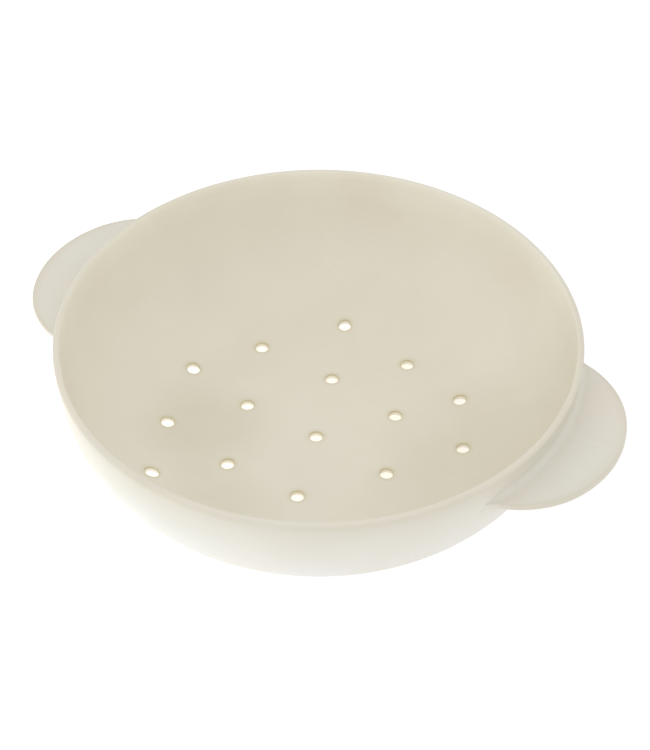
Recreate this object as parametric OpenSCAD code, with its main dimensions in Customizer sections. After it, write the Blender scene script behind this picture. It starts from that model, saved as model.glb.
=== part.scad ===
// Round cheese mould, injection moulded in one piece of natural white plastic: a shallow
// bowl with a perforated flat floor, a slightly flared wall with a rounded lip, and two
// lifting ears.  Z is up and the underside stands on Z = 0.  The ears lie along X.

/* [Bowl] */
// Diameter across the outside of the lip
rim_d = 210; // [202:1:300]
// Height from the table to the top of the lip
height = 60; // [56:1:120]
// Thickness of the wall and of the floor
wall_t = 2.6; // [2.4:0.1:4]
// Outside radius of the large curve from the floor up into the wall
corner_r = 50; // [20:1:50]
// Outward lean of the wall, in degrees
draft = 5; // [0.5:0.5:8]

/* [Lip] */
// Height of the lip, the finished top of the wall
lip_h = 4; // [2.5:0.5:6]
// Rounding along the outer edge of the lip
lip_round_out = 1.6; // [0.6:0.1:1.8]
// Rounding along the inner edge of the lip
lip_round_in = 0.6; // [0.2:0.1:0.8]

/* [Ears] */
// Distance from the middle of the bowl to the tip of each ear
ear_reach = 128; // [118:1:150]
// Radius of the flatter curve round the tip of each ear
ear_tip_r = 50; // [46:1:60]
// How far the tip curve goes round to each side, in degrees
ear_tip_turn = 26; // [10:1:40]
// Radius of the tighter curves at the shoulders of each ear
ear_shoulder_r = 40; // [30:1:44]
// Radius of the hollow curve where the edge of an ear runs into the wall
ear_fillet = 10; // [4:1:14]
// Thickness of each ear
ear_t = 2.5; // [1.6:0.1:4]
// Drop from the top of the lip to the top face of the ears
ear_drop = 11.4; // [6:0.2:14]

/* [Drain holes] */
// Diameter of each drain hole
hole_d = 5.5; // [2:0.1:8]
// Spacing that the holes were laid out on
hole_pitch = 35; // [28:1:36]
// Turn of the whole hole pattern from the ears, in degrees
hole_clock = 48; // [0:1:59]

/* [Hidden] */
$fn = 128;

// Clearance that a cutting shape runs past the surface it cuts
past = 1;

// Direction square to the outside of the leaning wall, as [outward, up]
wall_out = [cos(draft), -sin(draft)];
// Where the outside of the wall would reach the top of the lip, if that were not rounded
wall_top_r = rim_d / 2 + lip_round_out * (tan(draft) + 1 / cos(draft) - 1);
lip_z = height - lip_h;
ear_top = height - ear_drop;

// Middle of the corner curve, placed so that the curve runs smoothly into the leaning wall
corner_x = wall_top_r - (height - corner_r) * tan(draft) - corner_r / cos(draft);
corner_mid = [corner_x, corner_r];

// The floor piece ends on a cone square to the shell, outside the outermost drain hole
split_angle = 34;
split_end = corner_mid + 1.3 * corner_r * [sin(split_angle), -cos(split_angle)];

// Ear outline: the middles of its tip curve and of its +Y shoulder curve, on one line
// with the point where the two curves meet
tip_mid = [ear_reach - ear_tip_r, 0];
shoulder_step = (ear_tip_r - ear_shoulder_r) * [cos(ear_tip_turn), sin(ear_tip_turn)];
shoulder_mid = tip_mid + shoulder_step;
// The hollow curve just cuts into the shoulder, and runs a little way under the wall's skin
fillet_bite = 0.02;
fillet_wall_r = wall_top_r - (ear_drop + ear_t) * tan(draft) - 0.3;
fillet_far = fillet_wall_r + ear_fillet;
fillet_near = ear_shoulder_r + ear_fillet - fillet_bite;
shoulder_far = norm(shoulder_mid);
shoulder_way = shoulder_mid / shoulder_far;
fillet_along = (shoulder_far ^ 2 + fillet_far ^ 2 - fillet_near ^ 2) / (2 * shoulder_far);
fillet_across = sqrt(fillet_far ^ 2 - fillet_along ^ 2);
fillet_mid = fillet_along * shoulder_way + fillet_across * [-shoulder_way[1], shoulder_way[0]];

// Three rings of six holes: distance from the middle in pitches, turn from the clock angle
rings = [[1, 0], [sqrt(3), -30], [2, 0]];
// How far off its place each hole was drilled: millimetres outward, degrees anticlockwise
drift = [
    [[-1.5, -4.5], [-3, 0], [-1, 13], [7, 7], [3, -3], [2, -1.5]],
    [[0, 0], [-5, -3.5], [-3.5, 6], [3, 6], [3, 2], [0, 0]],
    [[-7.5, -3.5], [-4.5, 0], [-4.5, 6], [3, 2], [0, 0], [0, 0]],
];
// The middle hole: distance from the middle of the bowl, and which way
middle_hole = [3.5, 280];
// Height that reaches from below the floor to above it on the start of the corner curve
drill_h = 16;

// Radius of the wall at height z, inset into the shell
function wall_r(inset, z) =
    wall_top_r - (height - z) * tan(draft) - inset / cos(draft);

// Middle of a rounding of radius r along the top of the wall, that far into the shell
function lip_mid(inset, r) =
    [wall_r(inset, height - r), height - r];

// Half of the bowl seen as a solid form, inset from the outside skin, up to height z
module form(inset, z) {
    polygon([
        [0, inset],
        [corner_x, inset],
        corner_mid + (corner_r - inset) * wall_out,
        [wall_r(inset, z), z],
        [0, z]
    ]);
    intersection() {
        translate(corner_mid) circle(r = corner_r - inset);
        polygon([
            corner_mid,
            corner_mid + 2 * corner_r * [0, -1],
            corner_mid + 2 * corner_r * [1, -1],
            corner_mid + 2 * corner_r * wall_out
        ]);
    }
}

// Half section of the shell below the lip
module shell_section() {
    difference() {
        form(0, lip_z);
        form(wall_t, height);
    }
}

// Everything on the floor's side of the cone between floor and wall
module floor_side() {
    polygon([
        [0, split_end[1]],
        [0, corner_r],
        corner_mid,
        split_end
    ]);
}

// One drain hole, drilled straight up at a distance r and an angle a
module drain_hole(r, a) {
    rotate([0, 0, a])
        translate([r, 0, -past])
            cylinder(d = hole_d, h = drill_h);
}

module strainer_floor() {
    color("ivory")
        difference() {
            rotate_extrude()
                intersection() {
                    shell_section();
                    floor_side();
                }
            drain_hole(middle_hole[0], middle_hole[1]);
            for (ring = [0 : 2], i = [0 : 5])
                drain_hole(
                    rings[ring][0] * hole_pitch + drift[ring][i][0],
                    hole_clock + rings[ring][1] + 60 * i + drift[ring][i][1]
                );
        }
}

module side_wall() {
    color("seashell")
        rotate_extrude()
            difference() {
                shell_section();
                floor_side();
            }
}

// The rounding of radius r about mid, from straight up to square to one skin of the wall:
// side is 1 for the outside and -1 for the inside
module lip_edge(mid, r, side) {
    intersection() {
        translate(mid) circle(r = r);
        polygon([
            mid,
            mid + 2 * r * side * wall_out,
            mid + 2 * r * [side, 1],
            mid + 2 * r * [0, 1]
        ]);
    }
}

module rounded_lip() {
    outer = lip_mid(lip_round_out, lip_round_out);
    inner = lip_mid(wall_t - lip_round_in, lip_round_in);
    color("linen")
        rotate_extrude() {
            lip_edge(outer, lip_round_out, 1);
            lip_edge(inner, lip_round_in, -1);
            polygon([
                [wall_r(wall_t, lip_z), lip_z],
                [wall_r(0, lip_z), lip_z],
                outer + lip_round_out * wall_out,
                [outer[0], height],
                [inner[0], height],
                inner - lip_round_in * wall_out
            ]);
        }
}

// One half of an ear's outline, from the X axis to the hollow curve on its +Y side
module half_ear_outline() {
    difference() {
        union() {
            intersection() {
                translate(tip_mid) circle(r = ear_tip_r);
                polygon([
                    tip_mid - [0, past],
                    tip_mid + [2 * ear_tip_r, -past],
                    tip_mid + 2 * ear_tip_r * [cos(ear_tip_turn), sin(ear_tip_turn)],
                    tip_mid
                ]);
            }
            translate(shoulder_mid) circle(r = ear_shoulder_r);
            polygon([[0, 0], tip_mid, shoulder_mid, fillet_mid]);
        }
        translate(fillet_mid) circle(r = ear_fillet);
    }
}

// Outline of an ear pointing along +X, running on into the bowl
module ear_outline() {
    half_ear_outline();
    mirror([0, 1, 0]) half_ear_outline();
}

// An ear pointing along +X, cut to sit against the outside of the wall
module ear() {
    difference() {
        translate([0, 0, ear_top - ear_t])
            linear_extrude(height = ear_t) ear_outline();
        rotate_extrude() form(0, height);
    }
}

module ear_left() {
    color("antiquewhite")
        mirror([1, 0, 0]) ear();
}

module ear_right() {
    color("antiquewhite")
        ear();
}

strainer_floor();
side_wall();
rounded_lip();
ear_left();
ear_right();
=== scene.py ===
"""A round cheese mould of natural white plastic.

The real mould is one moulding.  Each of its regions (floor, wall, lip and two ears) is built
here as a closed mesh of its own that takes the place of the CAD node of the same region.
Where two regions meet, both hold the same surface direction, so that the plastic runs on
without a seam.
"""

import math

import bmesh
import bpy
from mathutils import Matrix, Vector
from mathutils.geometry import delaunay_2d_cdt


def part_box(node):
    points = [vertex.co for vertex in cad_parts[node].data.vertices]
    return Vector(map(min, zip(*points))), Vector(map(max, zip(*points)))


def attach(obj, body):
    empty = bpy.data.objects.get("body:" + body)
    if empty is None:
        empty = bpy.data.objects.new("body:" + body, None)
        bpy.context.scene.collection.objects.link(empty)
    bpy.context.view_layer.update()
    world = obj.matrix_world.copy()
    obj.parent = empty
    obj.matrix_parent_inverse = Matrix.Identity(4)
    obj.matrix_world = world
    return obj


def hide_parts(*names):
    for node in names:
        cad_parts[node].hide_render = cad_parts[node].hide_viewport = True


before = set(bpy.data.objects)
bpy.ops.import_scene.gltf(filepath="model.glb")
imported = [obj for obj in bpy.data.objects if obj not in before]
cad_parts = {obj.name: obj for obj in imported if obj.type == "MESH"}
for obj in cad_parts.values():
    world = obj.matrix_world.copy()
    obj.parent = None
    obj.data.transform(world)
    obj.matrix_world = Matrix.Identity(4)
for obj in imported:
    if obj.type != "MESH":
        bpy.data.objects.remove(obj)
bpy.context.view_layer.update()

MM = 0.001
TURN = 2 * math.pi
QUARTER = math.pi / 2

# ---------------------------------------------------------------- sizes, in metres
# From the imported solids
LIP_LOW, LIP_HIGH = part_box("rounded_lip")
EAR_LOW, EAR_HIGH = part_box("ear_right")
RIM_R = min(LIP_HIGH.x, LIP_HIGH.y)
HEIGHT = LIP_HIGH.z
LIP_Z = LIP_LOW.z
EAR_TIP = EAR_HIGH.x

# The bowl's section, as the CAD has it
WALL_T = 2.6 * MM
CORNER_R = 50 * MM
DRAFT = math.radians(5)
SPLIT_ANGLE = math.radians(34)
LIP_ROUND_OUT = 1.6 * MM
LIP_ROUND_IN = 0.6 * MM

# The ears' outline, as the CAD has it, then their rounded edge and their blend into the wall
EAR_TIP_R = 50 * MM
EAR_TIP_TURN = math.radians(26)
EAR_SHOULDER_R = 40 * MM
EAR_HOLLOW_R = 10 * MM
EAR_EDGE = 0.8 * MM
EAR_BLEND = 3 * MM
# Where an ear is narrow, its blend and its rounded edge take at most this share of it each
EAR_SHARE = 0.4

# Drain holes, laid out and drilled as the CAD floor has them: angles are in degrees, and
# each drift is how many millimetres outward and how many degrees on a hole was drilled
HOLE_R = 2.75 * MM
HOLE_PITCH = 35 * MM
HOLE_CLOCK = 48
RINGS = [(1, 0), (math.sqrt(3), -30), (2, 0)]
DRIFT = [
    [(-1.5, -4.5), (-3, 0), (-1, 13), (7, 7), (3, -3), (2, -1.5)],
    [(0, 0), (-5, -3.5), (-3.5, 6), (3, 6), (3, 2), (0, 0)],
    [(-7.5, -3.5), (-4.5, 0), (-4.5, 6), (3, 2), (0, 0), (0, 0)],
]
MIDDLE_HOLE = (3.5, 280)
# The rounding of a hole's edges, and the radii round its middle where the floor's skin ends,
# where the painted halo ends, and where the floor's own even points begin
HOLE_EDGE = 0.4 * MM
SKIN_R = HOLE_R + HOLE_EDGE + 0.25 * MM
HALO_R = SKIN_R + 1.6 * MM
FILL_R = HALO_R + 0.8 * MM

# Facets
AROUND = 288
HOLE_SIDES = 48
CURVE_STEPS = 30
ROUND_STEPS = 8
FLOOR_SPACING = 4.5 * MM
FLOOR_RINGS = 12
EAR_TIP_STEPS = 14
EAR_SHOULDER_STEPS = 26
EAR_HOLLOW_STEPS = 14
# Points closer than this, in millimetres, are one point of the floor's plan
SAME_POINT = 1e-6
# Faces that turn from each other by more than this meet in a sharp edge
SHARP_ANGLE = math.radians(50)
# A held direction goes to the faces whose own direction has at least this cosine with it
HELD_COSINE = 0.8

# Marks that each point carries for the material, all from 0 to 1: how yellow it is painted (whey
# stain and painted warm light), how far along the painted light and shade from the table up to the
# lip, how worn, how far down in a drain hole, and how much of the painted halo round one
MARKS = ("stained", "painted_shading", "worn", "drilled", "haloed")
# How yellow the top of the lip is painted (whey stain and painted warm light), and how far along
# the painted light and shade the ears' flats are
LIP_WHEY_AND_WARMTH = 0.25
EAR_PAINTED_SHADING = 0.52
# An ear takes its painted shading, with its edges painted in shade, only where it stands this far
# out of the wall
EAR_CLEAR = 8 * MM

# Darker patches inside: the first on the left of the floor, the others painted shade on the right
# wall, the near right and the near left, where the inside lies in shade.  Each is its middle, how
# far it reaches, and how strong it is
PAINTED_SHADE_PATCHES = [
    (Vector((-41, -20, 2)) * MM, 32 * MM, 0.65),
    (Vector((83, 24, 18)) * MM, 60 * MM, 0.65),
    (Vector((58, -14, 3)) * MM, 36 * MM, 0.45),
    (Vector((-17, -52, 3)) * MM, 26 * MM, 0.4),
]


# ---------------------------------------------------------------- places and steps
def polar(r, angle, z):
    return Vector((r * math.cos(angle), r * math.sin(angle), z))


def plan_polar(r, angle):
    return Vector((r * math.cos(angle), r * math.sin(angle)))


def plan_ring(count, r, ahead=0.0):
    """Points evenly round a circle, all of them turned ahead by that many steps."""
    return [plan_polar(r, TURN * (i + ahead) / count) for i in range(count)]


def between(start, end, share):
    return start + (end - start) * share


def angles(start, end, steps):
    """Angles in equal steps, with both the start and the end among them."""
    return [between(start, end, step / steps) for step in range(steps + 1)]


# ---------------------------------------------------------------- the bowl's section
# Where the outside of the wall would reach the top, if the lip were not rounded
WALL_TOP_R = RIM_R + LIP_ROUND_OUT * (math.tan(DRAFT) + 1 / math.cos(DRAFT) - 1)
# Middle of the corner curve, from the axis
CORNER_X = WALL_TOP_R - (HEIGHT - CORNER_R) * math.tan(DRAFT) - CORNER_R / math.cos(DRAFT)
# How far the section has turned from level where the straight wall starts
WALL_TURN = QUARTER - DRAFT


def wall_r(inset, z):
    """Radius of the straight part of the wall at height z, inset into the shell."""
    return WALL_TOP_R - (HEIGHT - z) * math.tan(DRAFT) - inset / math.cos(DRAFT)


def curve_point(inset, angle):
    """A point of the corner curve, with angle counted from straight down."""
    r = CORNER_R - inset
    return CORNER_X + r * math.sin(angle), CORNER_R - r * math.cos(angle)


def floor_z(inset, r):
    """Height of the floor and of the start of the corner curve at radius r."""
    past_flat = max(0.0, r - CORNER_X)
    return CORNER_R - math.sqrt((CORNER_R - inset) ** 2 - past_flat**2)


def facing(angle, outside):
    """Section direction of the shell's skin, where its curve has turned through angle."""
    side = 1 if outside else -1
    return side * math.sin(angle), -side * math.cos(angle)


def skin_marks(z, outside):
    """The inside is painted yellower, for whey stain and painted warm light.  Both skins carry
    painted light and shade from the table up to the lip: the outside is painted light low down, as
    if lit by the table, and darker towards the lip; the inside is painted lighter towards the lip,
    as if lit through the plastic.

    Half of the inside's change comes evenly up the wall, and half in its top few millimetres.
    """
    share = z / HEIGHT
    if outside:
        return {"painted_shading": share**4}
    return {"stained": 1.0, "painted_shading": 0.5 * share + 0.5 * share**20}


def curve_section(inset, start, end):
    """Section points along one skin of the corner curve: (radius, height, held, marks)."""
    outside = inset == 0
    found = []
    for angle in angles(start, end, CURVE_STEPS):
        r, z = curve_point(inset, angle)
        found.append((r, z, facing(angle, outside), skin_marks(z, outside)))
    return found


def straight_point(inset, z):
    """Section point on one skin of the straight wall: (radius, height, held, marks)."""
    outside = inset == 0
    return wall_r(inset, z), z, facing(WALL_TURN, outside), skin_marks(z, outside)


# ---------------------------------------------------------------- mesh building
class Shape:
    """Points and faces of one closed piece, with the surface directions held at its seams."""

    def __init__(self):
        self.points = []
        self.faces = []
        self.held = {}
        self.marks = {name: [] for name in MARKS}

    def point(self, place, held=None, **marks):
        self.points.append(place)
        for name in MARKS:
            self.marks[name].append(marks.get(name, 0.0))
        index = len(self.points) - 1
        if held is not None:
            self.held[index] = held
        return index

    def loft(self, row_a, row_b):
        """Quads all round between two closed rows of the same length."""
        count = len(row_a)
        for i in range(count):
            j = (i + 1) % count
            self.faces.append((row_a[i], row_a[j], row_b[j], row_b[i]))

    def piece(self, name, node, material):
        """Makes the mesh and lets it stand for a CAD node, on the part's only body."""
        mesh = bpy.data.meshes.new(name)
        mesh.from_pydata(self.points, [], self.faces)
        face_outward(mesh)
        mesh.shade_smooth()
        mesh.set_sharp_from_angle(angle=SHARP_ANGLE)
        hold_directions(mesh, self.held)
        for mark, values in self.marks.items():
            mesh.attributes.new(mark, "FLOAT", "POINT").data.foreach_set("value", values)
        mesh.materials.append(material)
        made = bpy.data.objects.new(name, mesh)
        bpy.context.scene.collection.objects.link(made)
        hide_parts(node)
        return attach(made, "root")


def face_outward(mesh):
    work = bmesh.new()
    work.from_mesh(mesh)
    bmesh.ops.recalc_face_normals(work, faces=work.faces)
    work.to_mesh(mesh)
    work.free()


def hold_directions(mesh, held):
    """Sets the held directions on the faces that roughly face that way, and no others.

    A wanted direction of zero leaves a face's corner as smooth shading has it.
    """
    wanted = [Vector((0, 0, 0))] * len(mesh.loops)
    for face in mesh.polygons:
        for loop in face.loop_indices:
            direction = held.get(mesh.loops[loop].vertex_index)
            if direction is not None and direction.dot(face.normal) > HELD_COSINE:
                wanted[loop] = direction
    mesh.normals_split_custom_set(wanted)


def revolve(shape, section):
    """Turns a closed section about Z.  Each point is (radius, height, held or None, marks)."""
    rows = []
    for r, z, held, marks in section:
        row = []
        for step in range(AROUND):
            angle = TURN * step / AROUND
            direction = polar(held[0], angle, held[1]) if held else None
            row.append(shape.point(polar(r, angle, z), direction, **marks))
        rows.append(row)
    for row, following in zip(rows, rows[1:] + rows[:1]):
        shape.loft(row, following)


# ---------------------------------------------------------------- the wall
def side_wall(material):
    section = curve_section(WALL_T, SPLIT_ANGLE, WALL_TURN)
    section.append(straight_point(WALL_T, LIP_Z))
    straight_foot = curve_point(0, WALL_TURN)[1]
    for share in (1, 0.75, 0.5, 0.25):
        section.append(straight_point(0, between(straight_foot, LIP_Z, share)))
    section += curve_section(0, WALL_TURN, SPLIT_ANGLE)
    shape = Shape()
    revolve(shape, section)
    return shape.piece("bowl_wall", "side_wall", material)


# ---------------------------------------------------------------- the lip
def lip_rounding(inset, radius, start, end):
    """Section points round one edge of the lip, angles counted from straight outward."""
    z = HEIGHT - radius
    r = wall_r(inset, z)
    found = []
    for step, a in enumerate(angles(start, end, ROUND_STEPS)):
        outward = math.cos(a)
        # Painted light and shade: the lip takes the darkest painted tone, so its outer rounding
        # shows a painted dark line of shade, while its inner rounding takes the inside's painted
        # light
        edge_stained = 0 if outward > 0 else 1
        stained = between(LIP_WHEY_AND_WARMTH, edge_stained, outward**2)
        worn = math.sin(math.pi * step / ROUND_STEPS)
        marks = {"stained": stained, "painted_shading": 1.0, "worn": worn}
        found.append((r + radius * outward, z + radius * math.sin(a), None, marks))
    return found


def rounded_lip(material):
    section = lip_rounding(WALL_T - LIP_ROUND_IN, LIP_ROUND_IN, math.pi - DRAFT, QUARTER)
    section += lip_rounding(LIP_ROUND_OUT, LIP_ROUND_OUT, QUARTER, -DRAFT)
    section += [straight_point(0, LIP_Z), straight_point(WALL_T, LIP_Z)]
    shape = Shape()
    revolve(shape, section)
    return shape.piece("lip", "rounded_lip", material)


# ---------------------------------------------------------------- the floor
def hole_places():
    """Where the middle of each drain hole is in plan, in metres."""
    spots = [MIDDLE_HOLE]
    for (pitches, turn), drifts in zip(RINGS, DRIFT):
        for i, (out, ahead) in enumerate(drifts):
            spots.append((pitches * HOLE_PITCH / MM + out, HOLE_CLOCK + turn + 60 * i + ahead))
    return [plan_polar(r * MM, math.radians(a)) for r, a in spots]


def hole_ring(middle, radius):
    return [middle + spot for spot in plan_ring(HOLE_SIDES, radius)]


def skin_fill(outer_r):
    """Even points over one skin of the floor: a triangular grid on the flat, then rings."""
    fill = []
    row_gap = FLOOR_SPACING * math.sqrt(0.75)
    rows = int(CORNER_X / row_gap)
    # The grid ends a little inside the first ring
    grid_r = CORNER_X - 0.4 * FLOOR_SPACING
    for row in range(-rows, rows + 1):
        for column in range(-rows - 2, rows + 3):
            spot = Vector(((column + 0.5 * (row % 2)) * FLOOR_SPACING, row * row_gap))
            if spot.length < grid_r:
                fill.append(spot)
    for step in range(FLOOR_RINGS):
        r = between(CORNER_X, outer_r, step / FLOOR_RINGS)
        fill += plan_ring(AROUND // 2, r, ahead=0.5 * (step % 2))
    return fill


def loop_edges(first, count):
    """Edges round a closed run of points, from the first one's index."""
    return [(first + i, first + (i + 1) % count) for i in range(count)]


def skin_layout(outer_r, holes):
    """Plan of one skin of the floor: its points, and the triangles between its holes."""
    plan = plan_ring(AROUND, outer_r)
    edges = loop_edges(0, AROUND)
    for hole in holes:
        edges += loop_edges(len(plan), HOLE_SIDES)
        plan += hole_ring(hole, SKIN_R)
    plan += [p for p in skin_fill(outer_r) if all((p - h).length > FILL_R for h in holes)]
    for hole in holes:
        plan += hole_ring(hole, HALO_R)

    in_mm = [p / MM for p in plan]
    spots, _, triangles, sources, _, _ = delaunay_2d_cdt(in_mm, edges, [], 0, SAME_POINT)
    place_of = {source: i for i, found in enumerate(sources) for source in found}
    outer = [place_of[i] for i in range(AROUND)]
    rims = []
    hole_at = {}
    for h in range(len(holes)):
        first = AROUND + h * HOLE_SIDES
        rims.append([place_of[first + i] for i in range(HOLE_SIDES)])
        hole_at.update({i: h for i in rims[h]})
    # Only inside a hole does a triangle have all its corners on one rim
    kept = [t for t in triangles if len({hole_at.get(i, -1 - i) for i in t}) > 1]
    return [p * MM for p in spots], kept, outer, rims


def floor_skin(shape, inset, holes):
    """Adds one skin of the floor.  Returns its outer row and its row round each hole."""
    outside = inset == 0
    outer_r = curve_point(inset, SPLIT_ANGLE)[0]
    spots, triangles, outer, rims = skin_layout(outer_r, holes)
    rim_points = {i for rim in rims for i in rim}
    index = []
    for i, spot in enumerate(spots):
        r = spot.length
        turned = math.asin(max(0.0, r - CORNER_X) / (CORNER_R - inset))
        lean, rise = facing(turned, outside)
        direction = polar(lean, math.atan2(spot.y, spot.x), rise)
        place = Vector((spot.x, spot.y, floor_z(inset, r)))
        haloed = 1.0 if i in rim_points else 0.0
        marks = skin_marks(place.z, outside)
        index.append(shape.point(place, direction, haloed=haloed, **marks))
    shape.faces += [tuple(index[i] for i in triangle) for triangle in triangles]
    return [index[i] for i in outer], [[index[i] for i in rim] for rim in rims]


def hole_row(shape, middle, radius, inset, sunk, **marks):
    """Adds a ring of points round a hole, sunk below one skin of the floor."""
    row = []
    for spot in hole_ring(middle, radius):
        place = Vector((spot.x, spot.y, floor_z(inset, spot.length) - sunk))
        row.append(shape.point(place, stained=1.0 if inset else 0.0, **marks))
    return row


def hole_wall(shape, middle, upper_rim, lower_rim):
    """The rounded edges and the drilled wall of one drain hole."""
    rows = [upper_rim]
    for a in angles(QUARTER, 0, ROUND_STEPS):
        radius = HOLE_R + HOLE_EDGE * (1 - math.cos(a))
        sunk = HOLE_EDGE * (1 - math.sin(a))
        # Painted shade and light: the upper rounding is painted olive as shade, and the drilled
        # wall below is painted pale as if lit from below
        mark = 0.5 * math.cos(a)
        rows.append(hole_row(shape, middle, radius, WALL_T, sunk, drilled=mark, haloed=1.0))
    deep = WALL_T - 2 * HOLE_EDGE
    for share in (0.2, 0.4, 0.6, 0.8):
        mark = min(1.0, 0.5 + share)
        sunk = HOLE_EDGE + deep * share
        rows.append(hole_row(shape, middle, HOLE_R, WALL_T, sunk, drilled=mark, haloed=1 - share))
    for a in angles(0, QUARTER, ROUND_STEPS):
        radius = HOLE_R + HOLE_EDGE * (1 - math.cos(a))
        sunk = -HOLE_EDGE * (1 - math.sin(a))
        rows.append(hole_row(shape, middle, radius, 0, sunk, drilled=math.cos(a)))
    rows.append(lower_rim)
    for row, following in zip(rows, rows[1:]):
        shape.loft(row, following)


def strainer_floor(material):
    holes = hole_places()
    shape = Shape()
    upper_edge, upper_rims = floor_skin(shape, WALL_T, holes)
    lower_edge, lower_rims = floor_skin(shape, 0, holes)
    shape.loft(upper_edge, lower_edge)
    for middle, upper, lower in zip(holes, upper_rims, lower_rims):
        hole_wall(shape, middle, upper, lower)
    return shape.piece("drain_floor", "strainer_floor", material)


# ---------------------------------------------------------------- the ears
def outline_arc(middle, radius, start, end, steps, side=1):
    """Points round an arc, without its end, each with the direction out of the ear."""
    found = []
    for a in angles(start, end, steps)[:-1]:
        out = plan_polar(1, a)
        found.append((middle + radius * out, side * out))
    return found


def ear_outline():
    """Half of an ear's plan, from its tip round to the wall: (point, outward direction)."""
    tip = Vector((EAR_TIP - EAR_TIP_R, 0))
    shoulder = tip + plan_polar(EAR_TIP_R - EAR_SHOULDER_R, EAR_TIP_TURN)
    # The middle of the hollow curve, one radius off the shoulder's curve and off the wall
    near = EAR_SHOULDER_R + EAR_HOLLOW_R
    far = wall_r(0, EAR_LOW.z) + EAR_HOLLOW_R
    along = (shoulder.length**2 + far**2 - near**2) / (2 * shoulder.length)
    way = shoulder.normalized()
    hollow = along * way + math.sqrt(far**2 - along**2) * Vector((-way.y, way.x))

    to_hollow = hollow - shoulder
    shoulder_end = math.atan2(to_hollow.y, to_hollow.x)
    hollow_start = shoulder_end - math.pi
    hollow_end = math.atan2(-hollow.y, -hollow.x)
    found = outline_arc(tip, EAR_TIP_R, 0, EAR_TIP_TURN, EAR_TIP_STEPS)
    found += outline_arc(shoulder, EAR_SHOULDER_R, EAR_TIP_TURN, shoulder_end, EAR_SHOULDER_STEPS)
    found += outline_arc(hollow, EAR_HOLLOW_R, hollow_start, hollow_end, EAR_HOLLOW_STEPS, side=-1)
    return found


def ear_face(edge, out, top):
    """One face of an ear's section, from the wall out to the middle of its rounded edge.

    Each point is (place, held direction or None, marks).
    """
    z, up = (EAR_HIGH.z, 1) if top else (EAR_LOW.z, -1)
    azimuth = math.atan2(edge.y, edge.x)
    width = edge.length - wall_r(0, EAR_HIGH.z)
    clear = min(1.0, width / EAR_CLEAR)
    # Painted shade: the ear's flat takes part of the outside's painted tone, and its rounded edge
    # the darkest of it
    flat_shading = between(skin_marks(EAR_HIGH.z, outside=True)["painted_shading"], EAR_PAINTED_SHADING, clear)
    edge_shading = between(flat_shading, 1, clear)
    found = []

    # The hollow blend out of the wall
    lean, rise = facing(WALL_TURN, outside=True)
    blend = min(EAR_BLEND, EAR_SHARE * width)
    for a in angles(0, QUARTER, ROUND_STEPS):
        height = z + up * blend * (1 - math.sin(a))
        reach = wall_r(0, height) + blend * (1 - math.cos(a))
        held = polar(lean, azimuth, rise) if a == 0 else None
        wall_shading = skin_marks(height, outside=True)["painted_shading"]
        painted_shading = between(wall_shading, flat_shading, a / QUARTER)
        found.append((polar(reach, azimuth, height), held, {"painted_shading": painted_shading}))

    # The flat, then the rounded edge, painted darker towards the edge as shade
    foot = found[-1][0].to_2d()
    rounding = min(EAR_EDGE, EAR_SHARE * width)
    shoulder = edge - rounding * out
    for share in (0.04, 0.2, 0.4, 0.6, 0.8, 0.96):
        spot = foot.lerp(shoulder, share)
        painted_shading = between(flat_shading, edge_shading, share**12)
        found.append((Vector((spot.x, spot.y, z)), None, {"painted_shading": painted_shading}))
    for a in angles(0, QUARTER, ROUND_STEPS):
        spot = shoulder + rounding * math.sin(a) * out
        height = z - up * rounding * (1 - math.cos(a))
        marks = {"painted_shading": edge_shading, "worn": clear * math.sin(2 * a)}
        found.append((Vector((spot.x, spot.y, height)), None, marks))
    return found


def ear_section(shape, edge, out):
    """Adds one closed row of points: out along an ear's top face, and back underneath."""
    row = ear_face(edge, out, top=True) + ear_face(edge, out, top=False)[::-1]
    return [shape.point(place, held, **marks) for place, held, marks in row]


def ear(name, node, turn, material):
    half = ear_outline()
    flip = Vector((1, -1))
    # From one end of the outline to the other, with the tip only once
    stations = [(p * flip, n * flip) for p, n in half[:0:-1]] + half
    shape = Shape()
    rows = [ear_section(shape, edge, out) for edge, out in stations]
    for row, following in zip(rows, rows[1:]):
        shape.loft(row, following)
    shape.faces.append(tuple(rows[0]))
    shape.faces.append(tuple(reversed(rows[-1])))
    spin = Matrix.Rotation(turn, 3, "Z")
    shape.points = [spin @ p for p in shape.points]
    shape.held = {i: spin @ n for i, n in shape.held.items()}
    return shape.piece(name, node, material)


# ---------------------------------------------------------------- material nodes
# Where the first node stands in the node editor, and the steps along and down to the next
FIRST_NODE = Vector((-1900, 1000))
NODE_STEP = Vector((200, -300))
NODES_IN_ROW = 8


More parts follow.
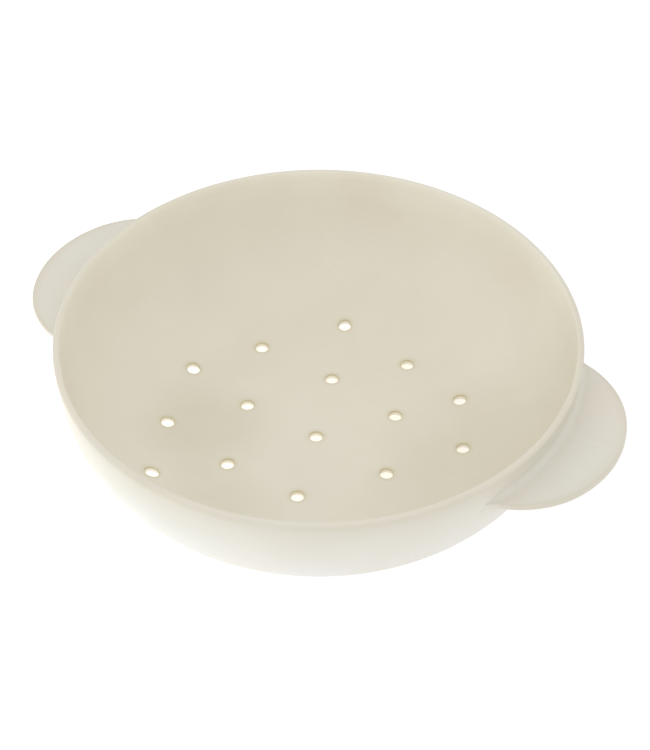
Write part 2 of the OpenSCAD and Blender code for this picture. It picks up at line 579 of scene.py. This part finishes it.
class Graph:
    """A new material, with short calls that add a node and return its output."""

    def __init__(self, name):
        self.material = bpy.data.materials.new(name)
        self.material.use_nodes = True
        self.tree = self.material.node_tree
        self.shader = self.tree.nodes["Principled BSDF"]
        self.place = self.add("ShaderNodeTexCoord", {}).outputs["Object"]

    def add(self, kind, inputs, **settings):
        """Adds a node, laid out in rows in the order of making."""
        row, column = divmod(len(self.tree.nodes), NODES_IN_ROW)
        made = self.tree.nodes.new(kind)
        made.location = FIRST_NODE + NODE_STEP * Vector((column, row))
        for key, value in settings.items():
            setattr(made, key, value)
        self.connect(made, inputs)
        return made

    def connect(self, node, inputs):
        """Links each input of a node to an output, or sets it to a plain value."""
        for key, value in inputs.items():
            if isinstance(value, bpy.types.NodeSocket):
                self.tree.links.new(value, node.inputs[key])
            else:
                node.inputs[key].default_value = value

    def noise(self, place, scale, detail=3.0, roughness=0.5):
        inputs = {"Vector": place, "Scale": scale, "Detail": detail, "Roughness": roughness}
        return self.add("ShaderNodeTexNoise", inputs).outputs["Fac"]

    def spread(self, value, low, high, to_low=0.0, to_high=1.0):
        """Carries low to to_low and high to to_high, evenly between and held beyond."""
        inputs = {"Value": value, "From Min": low, "From Max": high}
        inputs.update({"To Min": to_low, "To Max": to_high})
        return self.add("ShaderNodeMapRange", inputs).outputs["Result"]

    def calculate(self, operation, a, b):
        return self.add("ShaderNodeMath", {0: a, 1: b}, operation=operation).outputs[0]

    def blend(self, share, colour_a, colour_b):
        inputs = {"Factor": share, "A": colour_a, "B": colour_b}
        return self.add("ShaderNodeMix", inputs, data_type="RGBA").outputs["Result"]

    def distance(self, middle):
        inputs = {0: self.place, 1: middle}
        return self.add("ShaderNodeVectorMath", inputs, operation="DISTANCE").outputs["Value"]

    def mark(self, name):
        return self.add("ShaderNodeAttribute", {}, attribute_name=name).outputs["Fac"]

    def finish(self, inputs):
        self.connect(self.shader, inputs)
        return self.material


# ---------------------------------------------------------------- the plastic
# Painted light and shade: the outside is painted light low down, as if lit by the table, and shaded
# at the top; the inside is painted lighter at the top, as if lit through the plastic
OUTSIDE_LIT_LOW = (0.785, 0.785, 0.735, 1)
OUTSIDE_SHADED_TOP = (0.647, 0.603, 0.495, 1)
INSIDE_LOW = (0.776, 0.738, 0.628, 1)
INSIDE_LIT_TOP = (0.88, 0.854, 0.74, 1)
PALE_CLOUD = (0.85, 0.83, 0.76, 1)
DARK_CLOUD = (0.756, 0.683, 0.575, 1)
# Painted shade for the darker patches inside
PAINTED_SHADE = (0.695, 0.652, 0.53, 1)
# Painted at the holes: a warm halo for light through the plastic, shade at the rim, and light on
# the drilled wall
HOLE_PAINTED_HALO = (0.66, 0.60, 0.41, 1)
HOLE_RIM_SHADE = (0.60, 0.55, 0.36, 1)
HOLE_DEEP_LIGHT = (0.88, 0.83, 0.76, 1)
SCUFFED = (0.88, 0.87, 0.82, 1)
# How strongly the painted halo round a hole shows
HALO_STRENGTH = 0.4
# How much a scuff or scratch pales the colour, adds to the roughness and cuts into the grain
MARK_PALES = 0.12
MARK_ROUGHENS = 0.2
MARK_CUTS = 0.5


def milky_colour(graph, clouds):
    """Painted light and shade from the table up to the lip on both skins, yellower inside than
    outside for whey stain and painted warm light, and clouded a little.
    """
    painted_shading = graph.mark("painted_shading")
    outside = graph.blend(painted_shading, OUTSIDE_LIT_LOW, OUTSIDE_SHADED_TOP)
    inside = graph.blend(painted_shading, INSIDE_LOW, INSIDE_LIT_TOP)
    colour = graph.blend(graph.mark("stained"), outside, inside)
    pale = graph.spread(clouds, 0.4, 0.75, to_high=0.3)
    colour = graph.blend(pale, colour, PALE_CLOUD)
    dark = graph.spread(graph.noise(graph.place, scale=19), 0.45, 0.7, to_high=0.36)
    return graph.blend(dark, colour, DARK_CLOUD)


def add_painted_shade(graph, colour, clouds):
    """Painted shade: darker patches inside, with uneven borders."""
    inside = graph.mark("stained")
    for middle, reach, strength in PAINTED_SHADE_PATCHES:
        ragged = 0.25 * reach
        uneven = graph.spread(clouds, 0.3, 0.7, -ragged, ragged)
        away = graph.calculate("ADD", graph.distance(middle), uneven)
        patch = graph.spread(away, 0.3 * reach, reach, to_low=strength, to_high=0.0)
        patch = graph.calculate("MULTIPLY", patch, inside)
        colour = graph.blend(patch, colour, PAINTED_SHADE)
    return colour


def add_painted_hole_shading(graph, colour):
    """Painted light and shade at each hole: a faint yellow halo for light through the plastic,
    olive shade at its top edge, and a drilled wall painted pale as if lit from below.
    """
    haloed = graph.calculate("MULTIPLY", graph.mark("haloed"), HALO_STRENGTH)
    colour = graph.blend(haloed, colour, HOLE_PAINTED_HALO)
    drilled = graph.mark("drilled")
    colour = graph.blend(graph.spread(drilled, 0.0, 0.5), colour, HOLE_RIM_SHADE)
    return graph.blend(graph.spread(drilled, 0.5, 1.0), colour, HOLE_DEEP_LIGHT)


def scratches(graph, turn):
    """Sparse fine scratches: noise with far fewer waves along one direction than across it."""
    stretched = {"Vector": graph.place, "Rotation": (0.3, 0.2, turn), "Scale": (14, 620, 90)}
    place = graph.add("ShaderNodeMapping", stretched).outputs["Vector"]
    return graph.spread(graph.noise(place, scale=1, detail=1), 0.66, 0.72)


def marks_of_use(graph):
    """Scuffs along the lip and the edges of the ears, and patches of fine scratches."""
    scuffs = graph.noise(graph.place, scale=320, detail=5, roughness=0.65)
    scuffs = graph.spread(scuffs, 0.52, 0.66)
    scuffs = graph.calculate("MULTIPLY", scuffs, graph.mark("worn"))
    scratched = graph.calculate("MAXIMUM", scratches(graph, turn=0.6), scratches(graph, turn=2.2))
    patches = graph.spread(graph.noise(graph.place, scale=30), 0.45, 0.65)
    scratched = graph.calculate("MULTIPLY", scratched, patches)
    return graph.calculate("MAXIMUM", scuffs, scratched)


def smeared_roughness(graph, marked):
    """Half matte, uneven as from handling, and rougher where the mould is marked."""
    smears = graph.noise(graph.place, scale=70, detail=5)
    smears = graph.spread(smears, 0.3, 0.7, to_low=0.42, to_high=0.54)
    roughened = graph.calculate("MULTIPLY", marked, MARK_ROUGHENS)
    return graph.calculate("ADD", smears, roughened)


def grain(graph, marked):
    """Fine grain of the mould's surface, with the marks of use cut into it."""
    cut = graph.calculate("MULTIPLY", marked, MARK_CUTS)
    fine = graph.noise(graph.place, scale=900, detail=2)
    height = graph.calculate("SUBTRACT", fine, cut)
    inputs = {"Strength": 0.15, "Distance": 0.2 * MM, "Height": height}
    return graph.add("ShaderNodeBump", inputs).outputs["Normal"]


def natural_plastic():
    """Natural white moulded plastic: half matte, warmed inside by whey stain and painted warm
    light, with painted light and shade and marks of use.
    """
    graph = Graph("natural_plastic")
    clouds = graph.noise(graph.place, scale=13, detail=4)
    colour = milky_colour(graph, clouds)
    colour = add_painted_shade(graph, colour, clouds)
    colour = add_painted_hole_shading(graph, colour)
    marked = marks_of_use(graph)
    pale = graph.calculate("MULTIPLY", marked, MARK_PALES)
    return graph.finish({
        "Base Color": graph.blend(pale, colour, SCUFFED),
        "Roughness": smeared_roughness(graph, marked),
        "Normal": grain(graph, marked),
        "Specular IOR Level": 0.35,
    })


# ---------------------------------------------------------------- the scene round it
# Half of the table's width, and the colours of its glow away from the mould and under it, where
# warm light is painted as if it came through the mould
TABLE_HALF = 2.5
TABLE_PALE = (1, 1, 1, 1)
TABLE_PAINTED_WARM = (0.98, 0.93, 0.79, 1)
# The brightest place on the table
GLOW_MIDDLE = (-0.18, -0.09, 0)

TENT_STRENGTH = 0.92
LAMP_WIDTH = 1.2
# Each lamp's place from the middle of the lip, in metres to the right, towards the camera
# and up, and its power in watts
LAMPS = {
    "overhead": (0, 0, 1.2, 0.8),
    "left": (-1.2, 0.5, 0.35, 2.0),
    "right": (1.2, 0.2, 0.35, 0.4),
}

CAMERA_AZIMUTH = math.radians(28)
CAMERA_ELEVATION = math.radians(43.5)
CAMERA_AWAY = 0.7133
# Lens and sensor in millimetres, as the camera counts them
CAMERA_LENS = 86.4
SENSOR_WIDTH = 36
# What the camera aims at, from the middle of the lip
AIM_RIGHT = 2.6 * MM
AIM_DOWN = 18.4 * MM


def pale_table():
    """A pale table that glows as if lit from below, most at the left, with warm light painted under
    the mould as if it came through the plastic.
    """
    graph = Graph("pale_floor")
    away = graph.distance((0, 0, 0))
    glow = graph.spread(away, 0.3, 1.2, to_low=0.89, to_high=0.78)
    extra = graph.spread(graph.distance(GLOW_MIDDLE), 0.06, 0.26, to_low=0.55, to_high=0.0)
    clear = graph.spread(away, 0.058, 0.08)
    return graph.finish({
        "Base Color": (0.15, 0.15, 0.15, 1),
        "Roughness": 0.9,
        "Specular IOR Level": 0.0,
        "Emission Strength": graph.calculate("ADD", glow, extra),
        "Emission Color": graph.blend(clear, TABLE_PAINTED_WARM, TABLE_PALE),
    })


def stage():
    mesh = bpy.data.meshes.new("floor")
    corners = [(TABLE_HALF * x, TABLE_HALF * y, 0) for x, y in ((-1, -1), (1, -1), (1, 1), (-1, 1))]
    mesh.from_pydata(corners, [], [(0, 1, 2, 3)])
    mesh.materials.append(pale_table())
    floor = bpy.data.objects.new("floor", mesh)
    bpy.context.scene.collection.objects.link(floor)


def view_axes():
    """The camera's directions: right, up, and back towards the camera."""
    right = Vector((math.cos(CAMERA_AZIMUTH), math.sin(CAMERA_AZIMUTH), 0))
    level = Vector((math.sin(CAMERA_AZIMUTH), -math.cos(CAMERA_AZIMUTH), 0))
    back = level * math.cos(CAMERA_ELEVATION) + Vector((0, 0, math.sin(CAMERA_ELEVATION)))
    return right, back.cross(right), back


def put_in_scene(name, data, place, away):
    """Places a lamp or camera so that it looks against the direction away."""
    made = bpy.data.objects.new(name, data)
    made.location = place
    made.rotation_mode = "QUATERNION"
    made.rotation_quaternion = (-away).to_track_quat("-Z", "Y")
    bpy.context.scene.collection.objects.link(made)
    return made


def lights():
    """A white tent, a little brighter overhead and at the left, and a touch at the right."""
    world = bpy.data.worlds.new("studio")
    bpy.context.scene.world = world
    world.use_nodes = True
    background = world.node_tree.nodes["Background"]
    background.inputs["Color"].default_value = (1, 1, 1, 1)
    background.inputs["Strength"].default_value = TENT_STRENGTH
    middle = Vector((0, 0, HEIGHT))
    right, _, back = view_axes()
    for name, (to_right, nearer, up, power) in LAMPS.items():
        light = bpy.data.lights.new(name, "AREA")
        light.shape = "DISK"
        light.size = LAMP_WIDTH
        light.energy = power
        away = Vector((nearer * back.x, nearer * back.y, up)) + to_right * right
        put_in_scene(name, light, middle + away, away)


def camera():
    right, up, back = view_axes()
    aim = Vector((0, 0, HEIGHT)) + AIM_RIGHT * right - AIM_DOWN * up
    data = bpy.data.cameras.new("camera")
    data.lens = CAMERA_LENS
    data.sensor_width = SENSOR_WIDTH
    bpy.context.scene.camera = put_in_scene("camera", data, aim + CAMERA_AWAY * back, back)


plastic = natural_plastic()
strainer_floor(plastic)
side_wall(plastic)
rounded_lip(plastic)
ear("ear_of_right_side", "ear_right", 0, plastic)
ear("ear_of_left_side", "ear_left", math.pi, plastic)
stage()
lights()
camera()
bpy.context.scene.view_settings.view_transform = "Standard"
